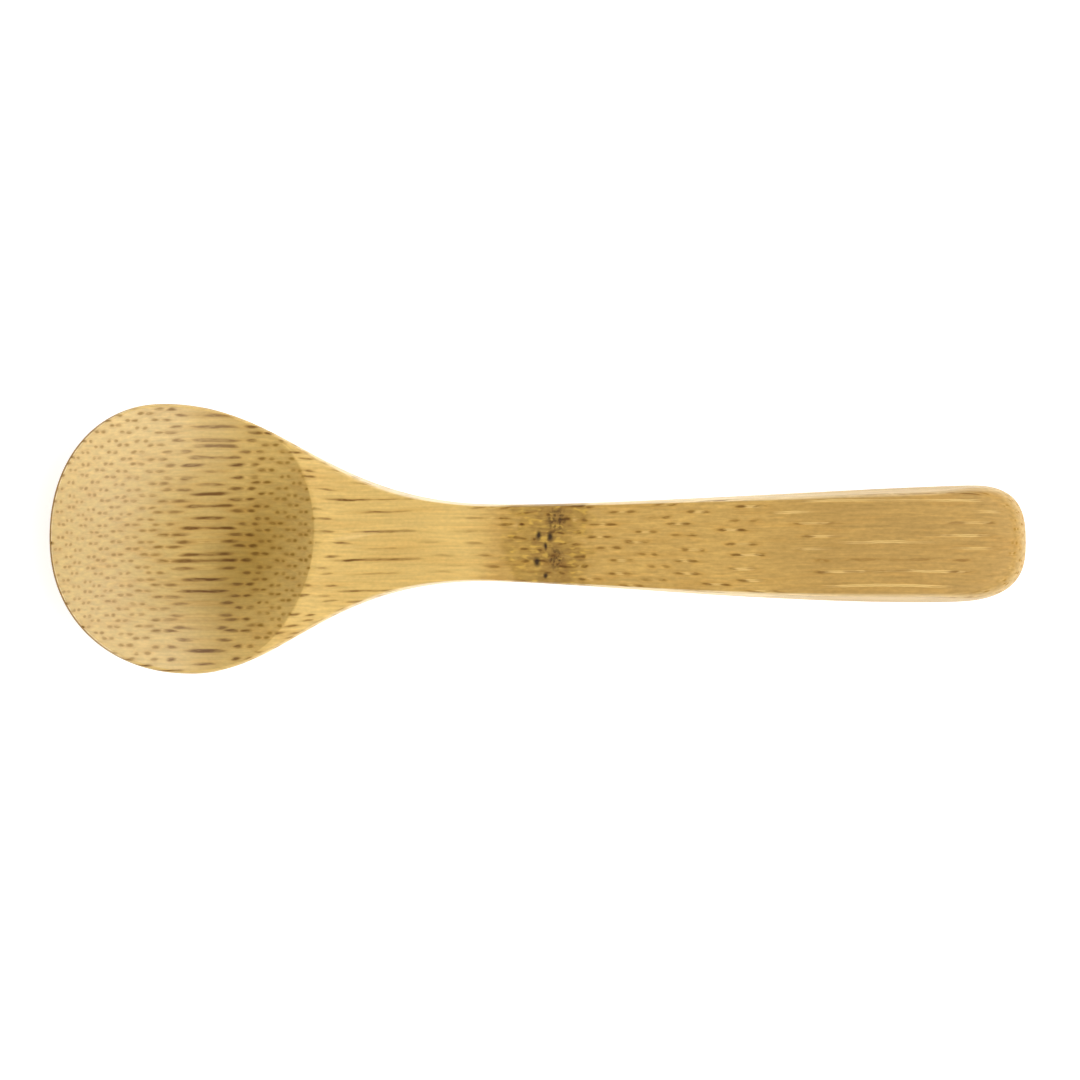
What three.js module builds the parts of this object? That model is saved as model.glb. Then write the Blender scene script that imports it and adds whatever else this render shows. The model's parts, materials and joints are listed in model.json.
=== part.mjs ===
// Bamboo salt spoon, carved from one strip of culm wall: a shallow squarish bowl whose hollow runs out over
// the lip and stops at a crisp arc on the shoulder, a slim neck, and a handle that widens to a rounded end.
// Millimetres, +Z up. X runs from the lip to the handle's end, and the spoon lies as it rests on a table.

import * as THREE from 'three';
import { mergeVertices } from 'three/addons/utils/BufferGeometryUtils.js';

const { lerp, smoothstep } = THREE.MathUtils;

// Plan of the bowl, with stations measured from the lip
const LENGTH = 88.9;
const BOWL_WIDTH = 24.6;
const BOWL_WIDEST = 11.6;
const BOWL_SKEW = 1.2; // the left edge is widest this much nearer the lip, the right edge this much further
const LIP_SQUARENESS = 2.12; // 2 is an ellipse, more is squarer

// Plan of the neck, and how far each of its two sweeping tangents reaches
const NECK_WIDTH = 7.05;
const NECK_STATION = 40.3;
const BOWL_TANGENT = 9.9;
const SHOULDER_TANGENT = 15.4;

// Plan of the handle, with its end rounding measured back from the end
const HANDLE_WIDTH = 10.7;
const NECK_TANGENT = 8.5;
const FLARE_TANGENT = 13;
const END_ROUNDING = 6.2;
const END_SKEW = 0.8; // the left corner is tighter by this much, the right corner longer
const END_SQUARENESS = 2.75;

// Hand shaping: the handle's centre line bows to the right between bowl and end
const HANDLE_SWAY = 0.65;
const SWAY_FROM_END = 24.3;
const END_SWAY = 0.3;

// The hollow: floor thickness under its lowest point, and its radii of curvature there
const HOLLOW_STATION = 15.2;
const HOLLOW_FLOOR = 2.1;
const HOLLOW_FRONT_RADIUS = 28;
const HOLLOW_BACK_RADIUS = 23;
const HOLLOW_SIDE_RADIUS = 27.3;
const HOLLOW_TURN = 0.072; // the gouge's path leans across the bowl by this slope
const HOLLOW_BACK = 24.1; // station of the crisp back edge on the centre line

// Side profile of the top: a sloping rim plane, a low neck, a crest on the handle and its end
const RIM_SLOPE = 0.13;
const NECK_TOP = 3.4;
const NECK_LOW_STATION = 36.5;
const CREST_TOP = 5.8;
const CREST_FROM_END = 16;
const END_TOP = 4.8;

// Side profile of the underside: a flat foot, an arch under neck and handle, and a flat heel
const FOOT_RADIUS = 3.6;
const ARCH_HEIGHT = 0.9;
const ARCH_STATION = 50;
const HEEL_FROM_END = 10.5;

// Sanded edges: how far each rounding reaches in from the outline, and how far it drops or rises
const LIP_REACH = 0.35;
const LIP_DROP = 0.4;
const RIM_LAND = 0.12; // least flat between the rounded rim and the hollow
const HANDLE_REACH = 0.7;
const HANDLE_DROP = 0.9;
const END_REACH = 3.2;
const END_DROP = 1.8;
const END_ONSET = 3; // 2 rounds like an ellipse, more starts more gently
const UNDER_REACH = 1.8;
const UNDER_RISE = 1.0;
const NECK_FLANK = 0.32; // how far the flanks lean in towards the top, at the neck and on the handle
const HANDLE_FLANK = 0.5;
const FLANK_SKEW = 0.13; // at the neck the left flank leans in by this much more, the right by as much less
const BOWL_FLANK = 0.45; // upright band between rim rounding and belly
const BLEND_START = 20; // the bowl's section turns into the handle's between these two stations
const BLEND_END = 36;
const BELLY_FULLNESS = 1.6; // 2 is a quarter ellipse, less is leaner
const HANDLE_FULLNESS = 2;

// A rounding stays within these shares of its rib's span or of its wall
const REACH_LIMIT = 0.6;
const DROP_LIMIT = 0.5;
const RISE_LIMIT = 0.3;

// Steps of the loft along the outline and across a rib
const LIP_STEPS = 14;
const BOWL_STEPS = 3;
const SHOULDER_STEPS = 16;
const SWING_STEPS = 3; // the last ribs of the shoulder swing from the hollow's floor to its back edge
const HANDLE_STEPS = 18;
const CORNER_STEPS = 4;
const END_STEPS = 12;
const LAND_STEPS = 3;
const ROUND_STEPS = 6;
const BELLY_STEPS = 6;
const FOOT_STEPS = 2;
const HOLLOW_STEPS = 10;
const PIVOT_INSET = 2; // the end's ribs fan out from a point this far before its rounding
const HALVINGS = 40; // steps of a search by halving
const WELD = 1e-4; // points closer than this are one point

const LEFT = 1;
const RIGHT = -1;
const HANDLE_PIVOT = LENGTH - END_ROUNDING - END_SKEW - PIVOT_INSET;

// Centre line of the spoon at a station: straight in the bowl, then a slow bow to the right and partly back.
function centreLine(u) {
  const swayStation = LENGTH - SWAY_FROM_END;
  if (u < swayStation) {
    return -HANDLE_SWAY * smoothstep(u, BOWL_WIDEST, swayStation);
  }
  const back = (u - swayStation) / SWAY_FROM_END;
  return -HANDLE_SWAY + (HANDLE_SWAY - END_SWAY) * back * back;
}

// Half width from a sweeping curve with level ends, given the stations of its four control points.
function sweptWidth(u, stations, from, to) {
  let low = 0;
  let high = 1;
  const curve = new THREE.CubicBezierCurve(
    new THREE.Vector2(stations[0], from),
    new THREE.Vector2(stations[1], from),
    new THREE.Vector2(stations[2], to),
    new THREE.Vector2(stations[3], to),
  );
  for (let i = 0; i < HALVINGS; i++) {
    const middle = (low + high) / 2;
    if (curve.getPoint(middle).x < u) low = middle;
    else high = middle;
  }
  return curve.getPoint(low).y;
}

const bowlWidest = (side) => BOWL_WIDEST - side * BOWL_SKEW;
const handleWidest = (side) => LENGTH - END_ROUNDING + side * END_SKEW;

// Half width between the bowl's widest station and the start of the end's rounding.
function halfWidth(side, u) {
  const widest = bowlWidest(side);
  if (u < NECK_STATION) {
    const stations = [widest, BOWL_WIDEST + BOWL_TANGENT, NECK_STATION - SHOULDER_TANGENT, NECK_STATION];
    return sweptWidth(u, stations, BOWL_WIDTH / 2, NECK_WIDTH / 2);
  }
  const end = handleWidest(side);
  const stations = [NECK_STATION, NECK_STATION + NECK_TANGENT, end - FLARE_TANGENT, end];
  return sweptWidth(u, stations, NECK_WIDTH / 2, HANDLE_WIDTH / 2);
}

// One quarter of a superellipse: how far along and how far across, as shares of its two half axes.
function quarter(turn, squareness) {
  const angle = (turn * Math.PI) / 2;
  return [Math.cos(angle) ** (2 / squareness), Math.sin(angle) ** (2 / squareness)];
}

// How far the flank leans in towards the top at a station: nothing at the bowl and at the very end.
function flankLean(side, u) {
  const onHandle = smoothstep(u, NECK_STATION, LENGTH - CREST_FROM_END);
  const lean = lerp(NECK_FLANK + side * FLANK_SKEW, HANDLE_FLANK, onHandle);
  return lean * smoothstep(u, BLEND_START, BLEND_END) * (1 - smoothstep(u, HANDLE_PIVOT, LENGTH));
}

// The outline of one side from the middle of the lip to the middle of the handle's end.
// Each point carries the stations that its rib's upper and lower inner ends aim at on the centre line.
function sideOutline(side) {
  const points = [];
  const add = (u, half, upper, lower) => {
    const y = centreLine(u) + side * half;
    points.push({ edge: new THREE.Vector2(u, y), upper, lower, lean: flankLean(side, u) });
  };
  const widest = bowlWidest(side);
  for (let i = 0; i <= LIP_STEPS; i++) {
    const [along, across] = quarter(i / LIP_STEPS, LIP_SQUARENESS);
    add(widest * (1 - along), (BOWL_WIDTH / 2) * across, HOLLOW_STATION, HOLLOW_STATION);
  }
  for (let i = 1; i <= BOWL_STEPS; i++) {
    const u = lerp(widest, HOLLOW_STATION, i / BOWL_STEPS);
    add(u, halfWidth(side, u), HOLLOW_STATION, HOLLOW_STATION);
  }
  for (let i = 1; i <= SHOULDER_STEPS; i++) {
    const u = lerp(HOLLOW_STATION, NECK_STATION, i / SHOULDER_STEPS);
    const swing = Math.max(0, 1 - (SHOULDER_STEPS - i) / SWING_STEPS);
    add(u, halfWidth(side, u), lerp(HOLLOW_STATION, HOLLOW_BACK, swing), u);
  }
  for (let i = 1; i <= HANDLE_STEPS; i++) {
    const u = lerp(NECK_STATION, HANDLE_PIVOT, i / HANDLE_STEPS);
    add(u, halfWidth(side, u), lerp(HOLLOW_BACK, HANDLE_PIVOT, i / HANDLE_STEPS), u);
  }
  const corner = handleWidest(side);
  for (let i = 1; i <= CORNER_STEPS; i++) {
    const u = lerp(HANDLE_PIVOT, corner, i / CORNER_STEPS);
    add(u, halfWidth(side, u), HANDLE_PIVOT, HANDLE_PIVOT);
  }
  for (let i = 1; i <= END_STEPS; i++) {
    const [across, along] = quarter(i / END_STEPS, END_SQUARENESS);
    add(lerp(corner, LENGTH, along), (HANDLE_WIDTH / 2) * across, HANDLE_PIVOT, HANDLE_PIVOT);
  }
  return points;
}

// Height of the hollow: a shallow bowl of three radii that grows past the outline in front.
function hollowHeight(u, y) {
  const along = u - HOLLOW_STATION - HOLLOW_TURN * y;
  const radius = along < 0 ? HOLLOW_FRONT_RADIUS : HOLLOW_BACK_RADIUS;
  return HOLLOW_FLOOR + (along * along) / (2 * radius) + (y * y) / (2 * HOLLOW_SIDE_RADIUS);
}

// Height of the uncut top at a station: it meets the hollow's back edge on the centre line.
function faceHeight(u) {
  const backHeight = hollowHeight(HOLLOW_BACK, centreLine(HOLLOW_BACK));
  if (u < HOLLOW_BACK) {
    return backHeight + RIM_SLOPE * (HOLLOW_BACK - u);
  }
  if (u < NECK_LOW_STATION) {
    const run = NECK_LOW_STATION - HOLLOW_BACK;
    const profile = new THREE.CubicBezierCurve(
      new THREE.Vector2(0, backHeight),
      new THREE.Vector2(run / 3, backHeight - (RIM_SLOPE * run) / 3),
      new THREE.Vector2((2 * run) / 3, NECK_TOP),
      new THREE.Vector2(run, NECK_TOP),
    );
    return profile.getPoint((u - HOLLOW_BACK) / run).y;
  }
  const crest = LENGTH - CREST_FROM_END;
  if (u < crest) {
    return lerp(NECK_TOP, CREST_TOP, smoothstep(u, NECK_LOW_STATION, crest));
  }
  const past = (u - crest) / CREST_FROM_END;
  return lerp(CREST_TOP, END_TOP, past * past);
}

const topHeight = (u, y) => Math.min(faceHeight(u), hollowHeight(u, y));

// Height of the underside's flat line at a station: foot, arch, heel.
function underHeight(u) {
  const footEnd = HOLLOW_STATION + FOOT_RADIUS;
  const heel = LENGTH - HEEL_FROM_END;
  const rise = smoothstep(u, footEnd, ARCH_STATION);
  const fall = smoothstep(u, ARCH_STATION, heel);
  return ARCH_HEIGHT * rise * (1 - fall);
}

const onCentreLine = (u) => new THREE.Vector2(u, centreLine(u));

// Share of the way from the outline to the aim at which the hollow meets the rim plane.
function rimShare(edge, aim) {
  const cut = (share) => {
    const at = edge.clone().lerp(aim, share);
    return hollowHeight(at.x, at.y) - faceHeight(at.x);
  };
  let low = 0;
  let high = 1;
  if (cut(0) <= 0) return 0;
  for (let i = 0; i < HALVINGS; i++) {
    const middle = (low + high) / 2;
    if (cut(middle) > 0) low = middle;
    else high = middle;
  }
  return high;
}

// One rib of the skin: from its inner end on top, over the rounded edge, down the flank and under the belly.
function rib({ edge, upper, lower, lean }) {
  const aim = onCentreLine(upper);
  const under = onCentreLine(lower);
  const bowlToHandle = smoothstep(edge.x, BLEND_START, BLEND_END);
  const handleToEnd = smoothstep(edge.x, HANDLE_PIVOT, LENGTH);
  const spanAbove = edge.distanceTo(aim);
  const spanBelow = edge.distanceTo(under);
  const wall = topHeight(edge.x, edge.y) - underHeight(edge.x);

  const sideReach = lerp(LIP_REACH, HANDLE_REACH, bowlToHandle);
  const sideDrop = lerp(LIP_DROP, HANDLE_DROP, bowlToHandle);
  const reach = Math.min(lerp(sideReach, END_REACH, handleToEnd), REACH_LIMIT * spanAbove);
  const drop = Math.min(lerp(sideDrop, END_DROP, handleToEnd), DROP_LIMIT * wall);
  const onset = lerp(HANDLE_FULLNESS, END_ONSET, handleToEnd);

  const bellyReach = spanBelow - FOOT_RADIUS;
  const bellyRise = wall - drop - BOWL_FLANK;
  const underReach = lerp(bellyReach, Math.min(UNDER_REACH, REACH_LIMIT * spanBelow), bowlToHandle);
  const underRise = lerp(bellyRise, Math.min(UNDER_RISE, RISE_LIMIT * wall), bowlToHandle);
  const fullness = lerp(BELLY_FULLNESS, HANDLE_FULLNESS, bowlToHandle);

  const inHollow = upper < HOLLOW_BACK;
  const rimSpan = inHollow ? rimShare(edge, aim) * spanAbove : spanAbove;
  const inner = Math.max(rimSpan, lean + reach + RIM_LAND);

  const points = [];
  const above = (span, fall) => {
    const at = edge.clone().lerp(aim, span / spanAbove);
    points.push(new THREE.Vector3(at.x, at.y, topHeight(at.x, at.y) - fall));
  };
  for (let i = 0; i < LAND_STEPS; i++) {
    above(lerp(inner, lean + reach, i / LAND_STEPS), 0);
  }
  for (let i = 0; i <= ROUND_STEPS; i++) {
    const angle = (i / ROUND_STEPS) * (Math.PI / 2);
    above(lean + reach * (1 - Math.sin(angle) ** (2 / onset)), drop * (1 - Math.cos(angle)));
  }

  const below = (span, rise) => {
    const at = edge.clone().lerp(under, span / spanBelow);
    points.push(new THREE.Vector3(at.x, at.y, underHeight(at.x) + rise));
  };
  for (let i = 0; i <= BELLY_STEPS; i++) {
    const [up, out] = quarter(1 - i / BELLY_STEPS, fullness);
    below(underReach * (1 - out), underRise * (1 - up));
  }
  for (let i = 1; i <= FOOT_STEPS; i++) {
    below(lerp(underReach, spanBelow, i / FOOT_STEPS), 0);
  }
  return points;
}

// Points of the hollow from the inner end of a rib down to the lowest point.
function hollowRay(rimPoint) {
  const points = [];
  const floor = onCentreLine(HOLLOW_STATION);
  const rim = new THREE.Vector2(rimPoint.x, rimPoint.y);
  for (let i = 0; i <= HOLLOW_STEPS; i++) {
    const at = rim.clone().lerp(floor, i / HOLLOW_STEPS);
    const z = i === 0 ? rimPoint.z : hollowHeight(at.x, at.y);
    points.push(new THREE.Vector3(at.x, at.y, z));
  }
  return points;
}

// Triangles of the skin between rows of points that run round a closed loop.
function loftLoop(rows, corners) {
  rows.forEach((row, i) => {
    const next = rows[(i + 1) % rows.length];
    for (let j = 0; j + 1 < row.length; j++) {
      corners.push(row[j], next[j + 1], row[j + 1]);
      corners.push(row[j], next[j], next[j + 1]);
    }
  });
}

// A closed geometry from loose corners: shared points merged, collapsed triangles left out.
function closedGeometry(corners) {
  const loose = new THREE.BufferGeometry().setFromPoints(corners);
  const merged = mergeVertices(loose, WELD);
  const index = merged.getIndex().array;
  const kept = [];
  for (let i = 0; i < index.length; i += 3) {
    const [a, b, c] = [index[i], index[i + 1], index[i + 2]];
    if (a !== b && b !== c && c !== a) kept.push(a, b, c);
  }
  merged.setIndex(kept);
  return merged;
}

function spoonGeometry() {
  const leftPoints = sideOutline(LEFT);
  const rightPoints = sideOutline(RIGHT).slice(1, -1).reverse();
  const outline = [...leftPoints, ...rightPoints];
  const ribs = outline.map(rib);
  const rays = [];
  outline.forEach((point, i) => {
    if (point.upper <= HOLLOW_BACK) rays.push(hollowRay(ribs[i][0]).reverse());
  });
  const corners = [];
  loftLoop(ribs, corners);
  loftLoop(rays, corners);
  return closedGeometry(corners).translate(-LENGTH / 2, 0, 0);
}

const bamboo = new THREE.MeshStandardMaterial({ color: 0xd0ac6a, roughness: 0.5, metalness: 0 });

const spoon = new THREE.Mesh(spoonGeometry(), bamboo);
spoon.name = 'spoon';

const saltSpoon = new THREE.Group();
saltSpoon.add(spoon);

export default saltSpoon;
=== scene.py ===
"""A bamboo salt spoon on a light table: the carved piece, its bamboo and the stage, in the CAD frame."""

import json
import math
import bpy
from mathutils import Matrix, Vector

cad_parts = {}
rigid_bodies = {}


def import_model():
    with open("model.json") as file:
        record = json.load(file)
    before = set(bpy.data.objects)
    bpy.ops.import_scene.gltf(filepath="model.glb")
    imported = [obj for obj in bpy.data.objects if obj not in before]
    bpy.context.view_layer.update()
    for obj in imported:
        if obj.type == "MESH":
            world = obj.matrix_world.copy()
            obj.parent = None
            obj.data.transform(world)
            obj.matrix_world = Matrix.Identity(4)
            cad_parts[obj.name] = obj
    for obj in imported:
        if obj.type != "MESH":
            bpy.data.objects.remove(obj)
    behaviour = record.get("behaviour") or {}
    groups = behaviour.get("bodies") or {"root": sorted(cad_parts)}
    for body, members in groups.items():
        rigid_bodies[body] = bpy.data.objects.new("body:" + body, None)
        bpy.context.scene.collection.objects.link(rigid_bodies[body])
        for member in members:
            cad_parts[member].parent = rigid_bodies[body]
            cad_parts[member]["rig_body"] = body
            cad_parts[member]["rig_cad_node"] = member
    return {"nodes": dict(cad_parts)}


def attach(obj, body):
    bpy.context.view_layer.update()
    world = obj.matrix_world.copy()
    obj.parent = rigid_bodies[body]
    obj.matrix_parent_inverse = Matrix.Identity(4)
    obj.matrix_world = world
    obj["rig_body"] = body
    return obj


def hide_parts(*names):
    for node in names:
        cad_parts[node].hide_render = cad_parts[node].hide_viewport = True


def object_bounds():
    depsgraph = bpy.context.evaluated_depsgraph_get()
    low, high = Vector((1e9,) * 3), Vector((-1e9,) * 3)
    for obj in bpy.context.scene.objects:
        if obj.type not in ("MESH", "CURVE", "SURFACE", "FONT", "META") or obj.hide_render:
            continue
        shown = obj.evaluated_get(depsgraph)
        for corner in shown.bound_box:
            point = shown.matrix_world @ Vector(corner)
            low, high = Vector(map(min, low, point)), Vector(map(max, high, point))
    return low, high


bl_info = {
    "name": "Bamboo salt spoon",
    "version": (1, 0, 0),
    "blender": (4, 5, 0),
    "location": "3D View > Sidebar > Spoon",
    "description": "Carves a bamboo salt spoon, finishes its grain and lays it on a light table",
    "category": "Object",
}

import bmesh
import bpy
from mathutils import Vector

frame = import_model()
CAD_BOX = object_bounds()

MM = 0.001
LENGTH = CAD_BOX[1].x - CAD_BOX[0].x

# Carving: points nearer than this are one point, triangles that join to a quad bend by less than this,
# and a face whose normal rises by more than this is on the top
WELD = 0.001 * MM
QUAD_ANGLE = math.radians(40)
TOP_LEVEL = 0.85

# The culm node: how ragged its band is, how far that moves the band's ends, how near its middle the
# band is full, the half lengths of its heart and of the heart's full part, and how much sooner the
# heart ends on the bowl's side
NODE_RAGGED = 1.5 * MM
NODE_SHIFT = 6.0 * MM
NODE_FULL = 2.2 * MM
NODE_HEART = 3.9 * MM
NODE_CORE = 1.0 * MM
NODE_STEEP = 2.0

# On the neck's top, plugged vessels of the culm node and two stippled knots: centre along and across,
# length and width, in millimetres
NODE_PLUGS = (
    (-0.02, 0.32, 0.40, 0.62),
    (1.08, 0.20, 0.44, 0.72),
    (0.66, -0.70, 0.26, 0.55),
    (-0.16, -2.12, 0.46, 0.66),
    (0.62, -3.36, 0.32, 0.44),
)
NODE_KNOTS = (
    (1.60, 1.75, 1.7, 2.2),
    (1.55, -1.80, 1.3, 1.9),
)

# The same plugs and knots: height of their centres, half their depth, how far the raggedness moves
# them, and where each begins and is full, in half sizes from its centre
SPOT_HEIGHT = 3.6 * MM
SPOT_DEPTH = 1.6 * MM
SPOT_SHIFT = 0.35 * MM
PLUG_RIM = 1.7
PLUG_CORE = 0.5
KNOT_RIM = 1.3
KNOT_CORE = 0.6

# Blotches in the node: size along, across and through the strip, noise at which one begins and is full,
# the mask that they keep within, and the place in the noise that they are taken from
NODE_BLOTCHES = (
    ("mottle", (0.90 * MM, 0.40 * MM, 0.40 * MM), 0.42, 0.64, "band", 42),
    ("speck", (0.30 * MM, 0.34 * MM, 0.34 * MM), 0.44, 0.60, "knot", 44),
    ("fleck", (0.90 * MM, 0.40 * MM, 0.40 * MM), 0.56, 0.70, "band", 56),
)

# How the fibres wander: sizes of a slow drift, of the swirl at the node and of a fine raggedness, and
# how far they push a fibre
DRIFT_SIZE = (14 * MM, 6 * MM, 6 * MM)
SWIRL_SIZE = (2.2 * MM, 1.4 * MM, 1.4 * MM)
WANDER = (0, 0.6 * MM, 0.35 * MM)
RAGGED_SIZE = (1.4 * MM, 0.35 * MM, 0.35 * MM)
RAGGED = (0, 0.14 * MM, 0.07 * MM)

# Fibre bundles: disorder of their rows, where their caps get finer behind the bowl and where they are
# fuller again past the node, and slopes between which a cut turns from dashes to dots
BUNDLE_DISORDER = 0.36
CAP_START = -25 * MM
CAP_FULL = -20 * MM
CAP_REGROWN = 4 * MM
CUT_LEVEL = math.sin(math.radians(5))
CUT_STEEP = math.sin(math.radians(12))

# One cap: where it and its halo begin and are full, in half sizes from its centre, how its thickness
# and its darkness differ from cap to cap, and what is left of its width and darkness in a dot
CAP_RIM = 1.3
CAP_CORE = 0.5
HALO_RIM = 2.4
HALO_CORE = 0.9
THICKNESS_LEAST = 0.75
THICKNESS_MOST = 1.25
DARKNESS_LEAST = 0.75
DARKNESS_MOST = 1.15
DOT_WIDTH = 0.85
DOT_DARKNESS = 0.9

# Towards the inside of the culm the caps fade: heights where that starts and ends, the chance below
# which a bundle has faded there, the range of chances that are fading, and what is left of a faded cap
FADE_LOW = 5.4 * MM
FADE_HIGH = 6.7 * MM
FADED_LOW = -0.6
FADED_HIGH = 0.8
FADE_RANGE = 0.6
FADE_LEFT = 0.1

# Breaks in the caps: their size, where they get deeper along the handle, what they leave of a cap
# before and past that, and noise at which a cap is broken or whole
BREAK_SIZE = (1.3 * MM, 0.25 * MM, 0.25 * MM)
BREAK_START = 4 * MM
BREAK_FULL = 16 * MM
BREAK_SHALLOW = 0.6
BREAK_DEEP = 0.1
BROKEN = 0.38
WHOLE = 0.52

# How strongly the bundles show along the spoon: fully in the bowl, faintly behind its back edge and before
# the node, and a little less on the first half of the handle
SHOWN_ALONG = (
    (-20.6 * MM, 1), (-20.2 * MM, 0.35), (-18.2 * MM, 1), (-14.5 * MM, 1),
    (-10.5 * MM, 0.35), (-7 * MM, 0.3), (-4 * MM, 0.8), (-2 * MM, 1),
    (3 * MM, 0.95), (9 * MM, 0.72), (13 * MM, 0.75), (20 * MM, 1),
)

# A bundle's two vessels: their distance, width and thickness, where they begin and are full, in half
# sizes from the centre, chances at which they are closed or open, and heights between which they get
# thicker, with how much
VESSEL_GAP = 0.13 * MM
VESSEL_WIDTH = 0.09 * MM
VESSEL_DEPTH = 0.055 * MM
VESSEL_RIM = 1.4
VESSEL_CORE = 0.6
VESSEL_CLOSED = 0.05
VESSEL_OPEN = 0.6
GROWTH_LOW = 3.9 * MM
GROWTH_HIGH = 6.4 * MM
GROWTH_LEAST = 0.7
GROWTH_MOST = 4.4

# Where past the node the vessels begin to show more and show fully, and what shows before that and on a
# steep cut
OPEN_START = 2 * MM
OPEN_FULL = 9 * MM
OPEN_LEVEL = 0.5
OPEN_STEEP = 0.35

# Soft tissue: where straw turns to tan and tan to pith
TAN_START = -7 * MM
TAN_FULL = -3.5 * MM
PITH_START = 17 * MM
PITH_FULL = 27 * MM

# What counts as the hollow: where it ends and how softly, tilts of the surface between which it begins,
# and heights between which its level floor begins
BOWL_END = -20.5 * MM
BOWL_FADE = 2 * MM
HOLLOW_LEVEL = math.radians(8)
HOLLOW_STEEP = math.radians(15)
FLOOR_HIGH = 3.2 * MM
FLOOR_LOW = 2.6 * MM

# Cut tissue of the hollow: its middle line, distances to the side between which it weakens, its shares
# there, where the back wall begins and is full, and what is left of those shares on it
CUT_MIDDLE = -1.3 * MM
CUT_INNER = 4.5 * MM
CUT_OUTER = 11.7 * MM
CUT_MOST = 0.55
CUT_LEAST = 0.28
BACK_START = -29 * MM
BACK_FULL = -24.5 * MM
BACK_CUT = 0.75

# Painted shade low on the back wall: centre, reach along and across, and how far it slants
BACK_SHADE_CENTRE = (-26.4 * MM, -2.0 * MM, 0)
BACK_SHADE_LENGTH = 6.6 * MM
BACK_SHADE_WIDTH = 10.8 * MM
BACK_SHADE_LEAN = 0.33

# Painted sheen on the ramp's sides: where it begins and is full, tilts to the side between which it begins,
# and its share
SIDE_SHEEN_START = -30.5 * MM
SIDE_SHEEN_FULL = -33 * MM
SIDE_SHEEN_LEVEL = 0.2
SIDE_SHEEN_STEEP = 0.4
SIDE_SHEEN_SHARE = 0.24

# Painted highlight on the flanks: where it begins and is full, upward parts of the normal between which it
# begins, and what is left of it on the pith, on the handle's end and in the node
FLANK_START = -34 * MM
FLANK_FULL = -24 * MM
FLANK_LEVEL = 0.87
FLANK_STEEP = 0.53
FLANK_FAR = 0.5
FLANK_END = 0.45
FLANK_NODE = 0.3

# The lip: where it begins and is full, and parts of the normal between which a surface looks up, belongs to
# the lip's rounding, looks away from the handle and so gets painted shade, and isn't under the lip
LIP_END = -36 * MM
LIP_FULL = -39 * MM
UPWARD_START = 0.45
UPWARD_FULL = 0.7
ROUND_START = 0.2
ROUND_FULL = 0.05
OUTWARD_START = 0
OUTWARD_FULL = -0.4
EDGE_START = -0.3
EDGE_FULL = 0.2

# Streaks of the tissue: size along, across and through the strip, detail, how far each darkens or
# lightens before the node and beyond it, and the noise at which that is full
STREAKS = (
    ((12 * MM, 0.32 * MM, 0.32 * MM), 3, 0.07, 0.09),
    ((6 * MM, 0.21 * MM, 0.21 * MM), 1, 0.07, 0.07),
    ((0.9 * MM, 0.21 * MM, 0.21 * MM), 2, 0.03, 0.09),
    ((0.40 * MM, 0.26 * MM, 0.26 * MM), 1, 0.05, 0.05),
)
STREAK_DARK = 0.3
STREAK_LIGHT = 0.7

# Amber streaks: size, noise at which they begin and are full, and their share
AMBER_SIZE = (8 * MM, 0.9 * MM, 0.9 * MM)
AMBER_START = 0.5
AMBER_FULL = 0.75
AMBER_SHARE = 0.25

# How much of its colour each layer of the fibres and of the node gives
LAYER_SHARES = {
    "outer halo": 0.30, "inner halo": 0.30, "vessel": 0.7, "outer": 0.9, "inner": 0.95,
    "band": 1, "heart": 0.64, "mottle": 0.6, "knot": 0.5, "fleck": 0.42, "speck": 0.65, "plug": 0.95,
}

# The surface: depth and strength of its relief, its refraction, and sheen and roughness where it is
# oiled or dry
RELIEF = 0.02 * MM
RELIEF_STRENGTH = 0.25
REFRACTION = 1.5
OILED_SHEEN = 0.5
DRY_SHEEN = 0.25
OILED_ROUGHNESS = 0.33
DRY_ROUGHNESS = 0.5

# The stage: how far the table lies under the spoon, its acrylic, and size and places of the softboxes
# in metres
TABLE_DROP = 0.02 * MM
ACRYLIC_COLOUR = (0.8, 0.8, 0.8, 1)
ACRYLIC_ROUGHNESS = 0.7
WHITE = (1, 1, 1, 1)
SOFTBOX_WIDTH = 0.5
SOFTBOX_HEIGHT = 0.35
END_SOFTBOX = (0.33, 0, 0.39)
LEFT_SOFTBOX = (0.18, 0.30, 0.39)
RIGHT_SOFTBOX = (0.18, -0.30, 0.39)

# The photograph: its width in pixels, how many of them the spoon's length takes, the point over which
# it is centred and the height at which it is to scale. The sensor's width is in millimetres
PHOTO_PIXELS = 1080
SPOON_PIXELS = 976
PHOTO_X = 0.13 * MM
PHOTO_Y = -0.11 * MM
PHOTO_LEVEL = 3.4 * MM
SENSOR = 36

# Kinds of shader nodes that the bamboo is made of, and the middle of a noise's colours
MATH = "ShaderNodeMath"
VECTOR = "ShaderNodeVectorMath"
RANGE = "ShaderNodeMapRange"
MIX = "ShaderNodeMix"
NOISE = "ShaderNodeTexNoise"
SPLIT = "ShaderNodeSeparateXYZ"
JOIN = "ShaderNodeCombineXYZ"
NOISE_MIDDLE = (0.5, 0.5, 0.5)


def linear(hex_colour):
    """An sRGB hex colour as linear red, green and blue."""
    shares = [int(hex_colour[i:i + 2], 16) / 255 for i in (0, 2, 4)]
    return [s / 12.92 if s <= 0.04045 else ((s + 0.055) / 1.055) ** 2.4 for s in shares]


def add(tree, kind, inputs=(), **settings):
    """Adds a node with its settings. An input that is a node or socket is linked, another value is set."""
    made = tree.nodes.new(kind)
    for name, value in settings.items():
        setattr(made, name, value)
    for key, value in dict(inputs).items():
        if isinstance(value, bpy.types.Node):
            value = next(socket for socket in value.outputs if socket.enabled)
        if isinstance(value, bpy.types.NodeSocket):
            tree.links.new(value, made.inputs[key])
        else:
            made.inputs[key].default_value = value
    return made


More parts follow.
